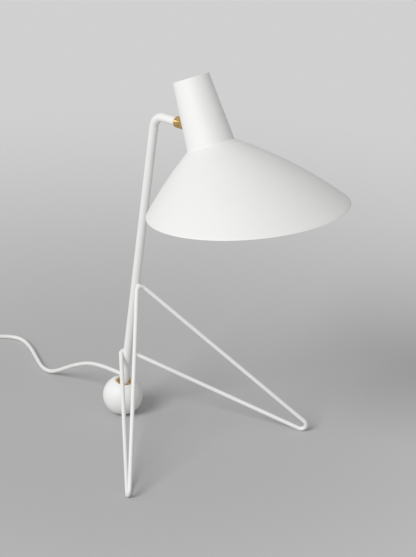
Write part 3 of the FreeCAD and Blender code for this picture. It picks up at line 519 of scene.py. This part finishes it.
SHADE_LEAN = math.radians(27.2)
NECK_SLOPE = math.radians(4.582)
SWIVEL_EDGE = 0.2 * MM
SCREW_EDGE = 0.15 * MM
HEAD_RISE = SHADE_LEAN - NECK_SLOPE
HEAD_WAY = Vector((math.cos(HEAD_RISE), 0, math.sin(HEAD_RISE)))
brass_on_arm = finish("brass_on_arm", brass_along(ARM_WAY))
brass_on_head = finish("brass_on_head", brass_along(HEAD_WAY))
dressed("arm_spigot", brass_on_arm)
dressed("swivel_base", brass_on_arm, SWIVEL_EDGE)
dressed("swivel_grub_screw", zinc_plate)
dressed("swivel_head", brass_on_head, SWIVEL_EDGE)
dressed("neck_saddle", brass_on_head)
dressed("neck_nut", brass_on_head)
dressed("swivel_screw", finish("brass_screw", brass_along(Vector((0, 1, 0)))), SCREW_EDGE)
dressed("swivel_washer", zinc_plate, edge=0)
dressed("inner_saddle", zinc_plate)


# ---- Shade -----------------------------------------------------------------------------
# Spun from 1.2 mm sheet: a closed, slightly tapered neck that flares into a bowl, whose rim
# is cut off at a slant and left plain. White inside and out, with vent holes in the top.

SHADE_AT = Vector((159.509, 0, 415.694)) * MM
SHADE_PLACE = Matrix.Translation(SHADE_AT) @ Matrix.Rotation(-SHADE_LEAN, 4, "Y")
SHEET = 1.2 * MM
LIP_R = SHEET / 2
LIP_STEPS = 5
NECK_TOP_R = 22.5 * MM
NECK_FOOT_R = 29.2 * MM
NECK_L = 83.6 * MM
NECK_EDGE_R = 0.8 * MM
CREASE_R = 3.5 * MM
CREASE_AIM_ROW = 6
CREASE_END_ROW = 3
CREASE_STEPS = 10
SKIRT_START = math.radians(55)
SKIRT_CURVE_R = 510 * MM
CUT_DROP = 75.1 * MM
CUT_SLOPE = math.tan(math.radians(17.74))
SKIRT_ROWS = 56
SHADE_SIDES = 192
VENTS = 8
VENT_R = 1.6 * MM
VENT_CIRCLE_R = 14 * MM
DRILL_L = 4 * SHEET
skirt_centre = Vector((NECK_FOOT_R - SKIRT_CURVE_R * math.cos(SKIRT_START), 0,
                       -SKIRT_CURVE_R * math.sin(SKIRT_START)))


def rim_angle(radius, around):
    """Where an arc of the skirt's section meets the slanting cut, at an angle round the axis."""
    tilt = CUT_SLOPE * math.cos(around)
    drop = -(skirt_centre.z + CUT_DROP - LIP_R + tilt * skirt_centre.x)
    return math.asin(drop / (radius * math.hypot(1, tilt))) - math.atan(tilt)


def skirt_rows(radius, around):
    """One side of the skirt's sheet at an angle round the axis, from the crease to the rim."""
    sweep = rim_angle(radius, around) - SKIRT_START
    angles = [SKIRT_START + sweep * row / SKIRT_ROWS for row in range(SKIRT_ROWS + 1)]
    return [skirt_centre + Vector((math.cos(a), 0, math.sin(a))) * radius for a in angles]


def neck_section(inset):
    """The neck's section from the axis to the crease, on the outside or inset by the sheet."""
    slant = inset / math.cos(NECK_SLOPE)
    top = NECK_L - inset
    top_r = NECK_TOP_R - slant + inset * math.tan(NECK_SLOPE)
    return section((0, top), (top_r, top), (NECK_FOOT_R - slant, 0))


def shade_column(around):
    """The whole sheet at an angle round the axis: out over the neck and back up inside."""
    outer = skirt_rows(SKIRT_CURVE_R, around)
    inner = skirt_rows(SKIRT_CURVE_R - SHEET, around)
    top, edge, crease = neck_section(0)
    column = [top] + bend(top, edge, crease, NECK_EDGE_R)
    column += bend(edge, crease, outer[CREASE_AIM_ROW], CREASE_R, CREASE_STEPS)
    column += outer[CREASE_END_ROW:]
    way = (outer[-1] - outer[-2]).normalized()
    middle = (outer[-1] + inner[-1]) / 2
    out = outer[-1] - middle
    for step in range(1, LIP_STEPS):
        turn = math.pi * step / LIP_STEPS
        column.append(middle + out * math.cos(turn) + way * LIP_R * math.sin(turn))
    top, edge, crease = neck_section(SHEET)
    column += inner[:CREASE_END_ROW - 1:-1]
    column += bend(inner[CREASE_AIM_ROW], crease, edge, CREASE_R + SHEET, CREASE_STEPS)
    column += bend(crease, edge, top, NECK_EDGE_R, steps=4)
    return column + [top]


def shade_mesh():
    """The closed sheet, from columns of points all round its axis."""
    mesh = bmesh.new()
    columns = []
    for side in range(SHADE_SIDES):
        around = math.tau * side / SHADE_SIDES
        turn = Matrix.Rotation(around, 3, "Z")
        columns.append([turn @ point for point in shade_column(around)])
    poles = [mesh.verts.new(columns[0][0]), mesh.verts.new(columns[0][-1])]
    grid = [[mesh.verts.new(point) for point in column[1:-1]] for column in columns]
    for here, after in zip(grid, grid[1:] + grid[:1]):
        mesh.faces.new([poles[0], here[0], after[0]])
        mesh.faces.new([poles[1], after[-1], here[-1]])
        for row in range(len(here) - 1):
            mesh.faces.new([here[row], here[row + 1], after[row + 1], after[row]])
    return mesh


shade = built("shade_shell", shade_mesh(), white_lacquer)
for vent in range(VENTS):
    turn = Matrix.Rotation(math.tau * vent / VENTS, 3, "Z")
    foot = turn @ Vector((VENT_CIRCLE_R, 0, NECK_L - 2 * SHEET))
    drill = turned("vent_drill", bar(VENT_R, 0, DRILL_L), white_lacquer,
                   Matrix.Translation(foot), sides=24)
    drilled(shade, drill)
shade.data.transform(SHADE_PLACE)
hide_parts("shade_neck", "shade_skirt")
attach(shade, "shade")


# ---- Holder bracket, nipple and nut ----------------------------------------------------
# A bent strip of zinc-plated steel, clamped inside the neck by the stub's nut, carries a
# threaded nipple that the lamp holder screws onto. The lead hangs beside it.

for node in ("holder_bracket", "holder_nipple", "holder_nut"):
    dressed(node, zinc_plate)
dressed("shade_lead", white_pvc, edge=0)


# ---- Lamp holder -----------------------------------------------------------------------
# A small Edison screw holder in white heat-proof plastic: a cap on the nipple, a barrel with
# the plated thread inside, and a sprung contact on its floor.

HOLDER_EDGE = 0.3 * MM
NICKEL = ((0.74, 0.72, 0.68), (0.66, 0.64, 0.60))


def heat_proof(place):
    """Moulded thermoset plastic: matt, with a fine spark-eroded grain."""
    grain = place.clouds(0.45 * MM, 5, 0.7)
    return {
        "Base Color": grain.mixed((0.80, 0.79, 0.76), (0.74, 0.73, 0.70)),
        "Roughness": 0.5 + grain * 0.15,
        "Normal": grain.ridges(0.02 * MM, 0.7),
    }


def nickel(place):
    """Bright nickel plate with a soft haze."""
    haze = place.clouds(2.5 * MM, 3)
    return {
        "Base Color": haze.mixed(*NICKEL),
        "Metallic": 1.0,
        "Roughness": 0.18 + haze * 0.14,
        "Normal": haze.ridges(0.01 * MM, 0.4),
    }


holder_plastic = finish("holder_plastic", heat_proof)
nickel_plate = finish("nickel_plate", nickel)
dressed("holder_cap", holder_plastic, HOLDER_EDGE)
dressed("holder_body", holder_plastic, HOLDER_EDGE)
dressed("holder_thread", nickel_plate)
dressed("holder_contact", brass_on_head)


# ---- Bulb ------------------------------------------------------------------------------
# A small opal ball bulb: a blown glass globe with a plated screw cap cemented on its neck. It
# screws into the holder, deep inside the shade.

BULB_R = 22.5 * MM
BULB_CENTRE = -17 * MM
BULB_NECK_R = 6.7 * MM
BULB_THROAT_R = 11 * MM
BULB_NECK_TOP = 19 * MM


def opal(place):
    """Opal glass: milky white under a clear gloss."""
    milk = place.clouds(9 * MM, 2)
    return {
        "Base Color": milk.mixed((0.90, 0.90, 0.885), (0.86, 0.86, 0.845)),
        "Roughness": 0.22 + milk * 0.05,
        "Coat Weight": 0.6,
        "Coat Roughness": 0.06,
    }


throat_x = BULB_NECK_R + BULB_THROAT_R
throat_z = BULB_CENTRE + math.sqrt((BULB_R + BULB_THROAT_R) ** 2 - throat_x ** 2)
join = math.degrees(math.atan2(throat_z - BULB_CENTRE, throat_x))
globe = arc_points(Vector((0, 0, BULB_CENTRE)), BULB_R, -90, join, steps=48)
throat = arc_points(Vector((throat_x, 0, throat_z)), BULB_THROAT_R, 180 + join, 180, steps=16)
neck = section((BULB_NECK_R, BULB_NECK_TOP), (0, BULB_NECK_TOP))
bulb = turned("bulb_globe", globe + throat[1:] + neck, finish("opal_glass", opal), SHADE_PLACE)
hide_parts("bulb_glass")
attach(bulb, "shade")
dressed("bulb_cap", nickel_plate)
dressed("bulb_contact", nickel_plate)


# ---- Supply cord -----------------------------------------------------------------------
# Round two-core cord, 5.2 mm thick. It leaves the back of the stem just above the ball, sinks
# to the table and wanders off to the switch.

CORD_R = 2.6 * MM
CORD_EXIT = BALL_CENTRE + STEM_UP * 28.5 * MM
FAR_SPOT = Vector((-269.6, 14.1, 0)) * MM
ASIDE_WAY = Vector((-0.6535, -0.7567, 0))
ALONG_WAY = Vector((0.7567, -0.6535, 0))
SWITCH_ASIDE = 42.2
SWITCH_ALONG = 106
SWITCH_L = 56
SWITCH_AXIS = 7.5
LYING = 2.6


def at(x, y, z):
    """A point given in millimetres."""
    return Vector((x, y, z)) * MM


def beyond(aside, along, height):
    """A point of the put-away cord: millimetres aside and along from its first spot, and up."""
    return FAR_SPOT + (ASIDE_WAY * aside + ALONG_WAY * along) * MM + at(0, 0, height)


def cord(name, points):
    """A length of the cord, laid smoothly along its route."""
    curve = bpy.data.curves.new(name, "CURVE")
    curve.dimensions = "3D"
    curve.bevel_depth = CORD_R
    curve.bevel_resolution = 6
    curve.use_fill_caps = True
    spline = curve.splines.new("NURBS")
    spline.points.add(len(points) - 1)
    for control, place in zip(spline.points, points):
        control.co = (*place, 1)
    spline.order_u = 3
    spline.use_endpoint_u = True
    spline.resolution_u = 12
    curve.materials.append(white_pvc)
    piece = bpy.data.objects.new(name, curve)
    bpy.context.scene.collection.objects.link(piece)
    return piece


exit_height = CORD_EXIT.z / MM
supply_route = [Vector((CORD_EXIT.x - STEM_R, 0, CORD_EXIT.z)), at(-22, 0, exit_height - 1.4)]
supply_route += [at(-44, 0, 49.2), at(-66, 0, 44.4), at(-88, -0.2, 34.6), at(-110, -0.4, 22.2)]
supply_route += [at(-130, -0.6, 9.6), at(-146, -1.4, LYING), at(-162, -0.8, LYING)]
supply_route += [at(-184, 9, LYING), at(-207, 20, LYING), at(-229, 28.6, LYING)]
supply_route += [at(-248, 31.4, LYING), at(-262, 23.2, LYING)]
supply_route += [beyond(7, 0.6, LYING), beyond(20, 3.4, LYING), beyond(34, 14.5, LYING)]
supply_route += [beyond(40.8, 31, 4.0), beyond(SWITCH_ASIDE, 55, SWITCH_AXIS)]
supply_route += [beyond(SWITCH_ASIDE, SWITCH_ALONG - SWITCH_L / 2, SWITCH_AXIS)]
supply = cord("supply_cord_line", supply_route)
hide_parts("supply_cord")
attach(supply, "base")


# ---- In-line switch --------------------------------------------------------------------
# A two-part glossy moulded case, screwed together from below round the cord, with a rocker on
# top and brass contacts inside.

SWITCH_EDGE = 0.25 * MM
MOULDED_WHITE = (0.83, 0.83, 0.815)


def moulded(place):
    """Glossy white moulded plastic with faint flow marks."""
    flow = place.stretched(1, 1, 0.4).clouds(7 * MM, 2)
    return {
        "Base Color": flow.mixed(MOULDED_WHITE, (0.79, 0.79, 0.77)),
        "Roughness": 0.24 + flow * 0.08,
        "Normal": flow.ridges(0.02 * MM, 0.4),
    }


white_plastic = finish("white_plastic", moulded)
for node in ("switch_base", "switch_cover", "switch_rocker"):
    dressed(node, white_plastic, SWITCH_EDGE)
dressed("switch_contacts", brass_on_head)
dressed("switch_screws", nickel_plate)


# ---- Mains lead ------------------------------------------------------------------------
# The rest of the same cord: from the switch into a flat coil of six turns in two layers, and
# on to the plug.

COIL_ASIDE = 96
COIL_ALONG = 148
COIL_TURN_R = 38.6
COIL_INNER_R = 23.0
COIL_TURNS = 6.282
COIL_CLIMB = (2.95, 3.33)
COIL_LAYERS = (LYING, 8.0)
COIL_STEPS = 16
PLUG_ASIDE = 134.4
PLUG_ALONG = 70
PLUG_AXIS = 6.85
switch_end = SWITCH_ALONG + SWITCH_L / 2
lead_route = [beyond(SWITCH_ASIDE, switch_end, SWITCH_AXIS)]
lead_route += [beyond(SWITCH_ASIDE, switch_end + 20, SWITCH_AXIS)]
lead_route += [beyond(46.3, 173.8, 3.6), beyond(58.8, 186.6, LYING), beyond(77.6, 190.9, LYING)]
swell = 1 / math.cos(math.pi / COIL_STEPS)
for step in range(math.ceil(COIL_TURNS * COIL_STEPS)):
    turns = step / COIL_STEPS
    inward = min(turns / COIL_CLIMB[0], 1)
    outward = max((turns - COIL_CLIMB[1]) / (COIL_TURNS - COIL_CLIMB[1]), 0)
    climb = min(max((turns - COIL_CLIMB[0]) / (COIL_CLIMB[1] - COIL_CLIMB[0]), 0), 1)
    reach = (COIL_TURN_R + (COIL_INNER_R - COIL_TURN_R) * (inward - outward)) * swell
    height = COIL_LAYERS[0] + (COIL_LAYERS[1] - COIL_LAYERS[0]) * climb
    angle = math.pi / 2 - math.tau * turns
    lead_route.append(beyond(COIL_ASIDE + reach * math.cos(angle), COIL_ALONG + reach * math.sin(angle),
                             height))
lead_route += [beyond(134.2, 143, COIL_LAYERS[1]), beyond(135.4, 119, COIL_LAYERS[1])]
lead_route += [beyond(PLUG_ASIDE + 0.1, PLUG_ALONG + 24, PLUG_AXIS)]
lead_route += [beyond(PLUG_ASIDE, PLUG_ALONG, PLUG_AXIS)]
mains = cord("mains_lead_line", lead_route)
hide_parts("switch_lead", "cord_coil", "plug_lead")
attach(mains, "base")


# ---- Strain reliefs --------------------------------------------------------------------
# Tapered rubber sleeves, grooved so that they bend with the cord, where it enters the switch
# and the plug.

RELIEF_L = 20 * MM
RELIEF_R = 4.4 * MM
RELIEF_END_R = 3.3 * MM
RELIEF_CORE_R = 3.0 * MM
RELIEF_GROOVES = 5
GROOVE_W = 1.3 * MM
RELIEF_SLICES = 160
CORE_SLICES = 10


def relief_radius(height):
    """The sleeve's radius at a height above its wide end."""
    outside = RELIEF_R + (RELIEF_END_R - RELIEF_R) * height / RELIEF_L
    pitch = RELIEF_L / (RELIEF_GROOVES + 1)
    into = (height - pitch) % pitch
    thin_end = RELIEF_L - 0.1 * pitch
    if height < pitch or height > thin_end or into > GROOVE_W:
        return outside
    depth = math.sin(math.pi * into / GROOVE_W) ** 0.5
    return outside - (outside - RELIEF_CORE_R) * depth


def cord_line(piece):
    """The points that a cord's middle passes through, from its start."""
    bare = piece.copy()
    bare.data = piece.data.copy()
    bare.data.bevel_depth = 0
    line = [corner.co.copy() for corner in bpy.data.meshes.new_from_object(bare).vertices]
    bpy.data.objects.remove(bare)
    return line


def relief(name, line):
    """A sleeve that follows the line of its cord away from its wide end."""
    outside = [RELIEF_L * step / RELIEF_SLICES for step in range(RELIEF_SLICES + 1)]
    inside = [RELIEF_L * step / CORE_SLICES for step in range(CORE_SLICES, -1, -1)]
    outline = section(*[(relief_radius(height), height) for height in outside])
    outline += section(*[(CORD_R, height) for height in inside])
    mesh = bmesh.new()
    spun(mesh, outline, sides=40)
    for corner in mesh.verts:
        walked = 0
        for here, there in zip(line, line[1:]):
            step = (there - here).length
            if walked + step >= corner.co.z:
                break
            walked += step
        ahead = (there - here).normalized()
        across = ahead.cross(Vector((0, 0, 1))).normalized()
        middle = here + ahead * (corner.co.z - walked)
        corner.co = middle + across * corner.co.x + across.cross(ahead) * corner.co.y
    piece = built(name, mesh, white_pvc)
    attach(piece, "base")
    return piece


supply_relief = relief("supply_relief", cord_line(supply)[::-1])
lead_relief = relief("lead_relief", cord_line(mains))
plug_relief = relief("plug_relief_sleeve", cord_line(mains)[::-1])
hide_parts("switch_reliefs")
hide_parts("switch_reliefs")
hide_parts("plug_relief")


# ---- Plug ------------------------------------------------------------------------------
# A flat two-pin mains plug moulded onto the cord in soft white plastic. It is six-sided across,
# and widens from its tail to the shoulders. The pins are plated, with white insulation over
# the half next to the plug.

PLUG_L = 36
PLUG_HALF_W = 17.65
PLUG_SHOULDER_AT = 24.5
PLUG_WAIST = (9.75, 6.15, 12.6)
PLUG_TAIL = (7.5, 5.5, 0)
PLUG_INSET = (2, 2, 0)
PLUG_EDGE_R = 1.8 * MM
PLUG_BEND_R = 6 * MM
PIN_SLEEVE = 9 * MM


def sleeved_pin(place):
    """Nickel plate, with a moulded sleeve over the root."""
    haze = place.clouds(2.5 * MM, 3)
    root = PLUG_L * MM + PIN_SLEEVE - beyond(PLUG_ASIDE, PLUG_ALONG, 0).dot(ALONG_WAY)
    bare = place.along(tuple(-ALONG_WAY)) > root
    metal = haze.mixed(*NICKEL)
    return {
        "Base Color": bare.mixed(MOULDED_WHITE, metal),
        "Metallic": bare,
        "Roughness": 0.4 - bare * 0.2 + haze * 0.12,
        "Normal": haze.ridges(0.01 * MM, 0.4),
    }


def plug_outline(station):
    """The plug's outline at a station, which holds its half width, half height and place along."""
    half_w, half_h, along = station
    flat = half_w - half_h
    corners = [Vector((x, y, along)) for x, y in ((-half_w, 0), (-flat, half_h), (flat, half_h),
                                                  (half_w, 0), (flat, -half_h), (-flat, -half_h))]
    outline = []
    for before, corner, after in zip(corners[-1:] + corners, corners, corners[1:] + corners[:1]):
        outline += bend(before, corner, after, PLUG_EDGE_R)
    return outline


tail = at(*PLUG_TAIL)
shoulder = at(PLUG_HALF_W, PLUG_AXIS, PLUG_SHOULDER_AT)
pin_face = at(PLUG_HALF_W, PLUG_AXIS, PLUG_L)
inset = at(*PLUG_INSET)
stations = rounded([tail - inset, tail, at(*PLUG_WAIST), shoulder, pin_face, pin_face - inset],
                   PLUG_BEND_R, steps=8)
grip = bmesh.new()
rings = [[grip.verts.new(point) for point in plug_outline(station)] for station in stations]
grip.faces.new(rings[0])
grip.faces.new(rings[-1])
for low, high in zip(rings, rings[1:]):
    joined(grip, low, high)
plug = built("plug_grip", grip, white_pvc,
             upright_on(beyond(PLUG_ASIDE, PLUG_ALONG, PLUG_AXIS), -ALONG_WAY, Vector((0, 0, 1))))
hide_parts("plug_body")
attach(plug, "base")
dressed("plug_pins", finish("sleeved_pin", sleeved_pin), edge=0)


# ---- Where it stands -------------------------------------------------------------------
# A plain pale floor with painted shade, darker close round the lamp, in an even, pale room, seen by
# the camera from above. Soft daylight falls from the left, and a little more from further round the
# same side.

FLOOR_SIZE = 14
# The near colour is painted shade on the floor round the lamp's base, fading out to the far colour.
FLOOR_NEAR_SHADE = (0.53, 0.53, 0.53)
FLOOR_FAR = (0.80, 0.80, 0.80)
FLOOR_FADE = (0.15, 1.1)
LAMP_MIDDLE = Vector((0.12, 0, 0.25))
WINDOW_STRENGTH = 1.9
WINDOW_WIDTH = 28
WINDOW_AWAY = Vector((0.43, -2.45, 1.95))
DOORWAY_STRENGTH = 0.13
DOORWAY_WIDTH = 17
DOORWAY_AWAY = Vector((-2.5, -1.98, 0.62))
ROOM_LIGHT = 0.41
ROOM_SEEN = 0.64
CAMERA_AT = Vector((3.26805, -2.72569, 2.11783))
CAMERA_TURN = (65.5912, -0.9291, 49.1836)
LENS = 243.37


def floor_paint(place):
    """Matt pale board with painted shade: darker close round the lamp than further off."""
    off = place.node("VectorMath", {"operation": "LENGTH"}, {0: place}, "Value")
    fade = off.node("MapRange", {"interpolation_type": "SMOOTHSTEP"},
                    {"Value": off, "From Min": FLOOR_FADE[0], "From Max": FLOOR_FADE[1]})
    return {
        "Base Color": fade.mixed(FLOOR_NEAR_SHADE, FLOOR_FAR),
        "Roughness": 1.0,
        "Specular IOR Level": 0.0,
    }


plane = bmesh.new()
bmesh.ops.create_grid(plane, x_segments=1, y_segments=1, size=FLOOR_SIZE)
ground = built("ground", plane, finish("pale_floor", floor_paint))


def light(name, strength, width, away):
    """A soft, distant light that faces the middle of the lamp, as wide as an angle in degrees."""
    source = bpy.data.lights.new(name, "SUN")
    source.energy = strength
    source.angle = math.radians(width)
    lamp = bpy.data.objects.new(name, source)
    lamp.location = LAMP_MIDDLE + away
    lamp.rotation_euler = away.to_track_quat("Z", "Y").to_euler()
    bpy.context.scene.collection.objects.link(lamp)


light("window", WINDOW_STRENGTH, WINDOW_WIDTH, WINDOW_AWAY)
light("doorway", DOORWAY_STRENGTH, DOORWAY_WIDTH, DOORWAY_AWAY)

world = bpy.data.worlds.new("room")
world.use_nodes = True
rays = world.node_tree.nodes.new("ShaderNodeLightPath").outputs
seen = Wire(rays["Is Camera Ray"]) + Wire(rays["Is Glossy Ray"]) + Wire(rays["Is Transmission Ray"])
glow = ROOM_LIGHT + seen * (ROOM_SEEN - ROOM_LIGHT)
feed(world.node_tree.nodes["Background"], {"Color": (1, 1, 1, 1), "Strength": glow})
bpy.context.scene.world = world

eye = bpy.data.cameras.new("eye")
eye.lens = LENS
eye.sensor_width = 36
eye.clip_end = 50
camera = bpy.data.objects.new("eye", eye)
camera.location = CAMERA_AT
camera.rotation_euler = [math.radians(turn) for turn in CAMERA_TURN]
bpy.context.scene.collection.objects.link(camera)
bpy.context.scene.camera = camera
bpy.context.scene.view_settings.view_transform = "Standard"
